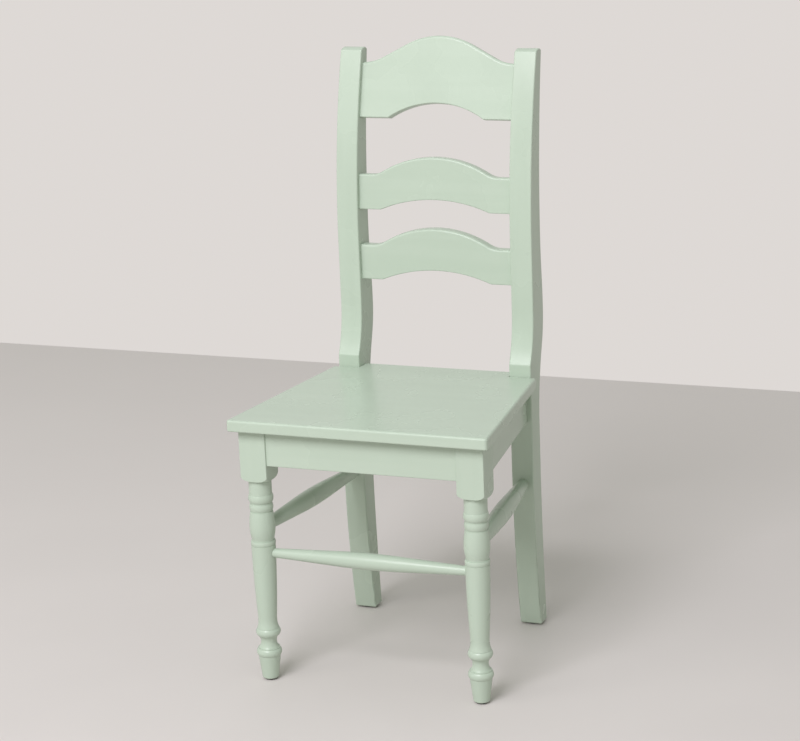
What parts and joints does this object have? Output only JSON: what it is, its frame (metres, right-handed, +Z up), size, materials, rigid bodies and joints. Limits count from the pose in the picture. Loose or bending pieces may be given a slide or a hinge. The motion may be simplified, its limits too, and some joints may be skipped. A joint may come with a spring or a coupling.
{
  "type": "dining chair",
  "caption": "Ladder-back dining chair in painted wood with a flat seat, turned front legs, arched slats and turned stretchers.",
  "frame": {"origin": "on the floor, under the middle of the whole chair", "axes": "+Z up, -Y the way the chair faces, +X to the right as seen from the front"},
  "size_m": [0.4582, 0.478, 1.05],
  "materials": {
    "paint": "pale sage green satin paint over wood",
    "bare_wood": "bare beech dowel",
    "screw_steel": "bright zinc-plated screw",
    "glide": "dark brown moulded glide"
  },
  "bodies": {
    "root": {"front_leg_left": "paint", "front_leg_right": "paint", "back_post_left": "paint", "back_post_right": "paint", "seat_panel": "paint", "front_apron": "paint", "rear_apron": "paint", "side_apron_left": "paint", "side_apron_right": "paint", "crest_rail": "paint", "middle_slat": "paint", "lower_slat": "paint", "front_stretcher": "paint", "side_stretcher_left": "paint", "side_stretcher_right": "paint", "corner_block_front_left": "paint", "corner_block_front_right": "paint", "corner_block_rear_left": "paint", "corner_block_rear_right": "paint", "apron_dowels": "bare_wood", "corner_block_screws": "screw_steel", "seat_screws": "screw_steel", "glide_front_left": "glide", "glide_front_right": "glide", "glide_rear_left": "glide", "glide_rear_right": "glide"}
  },
  "joints": []
}
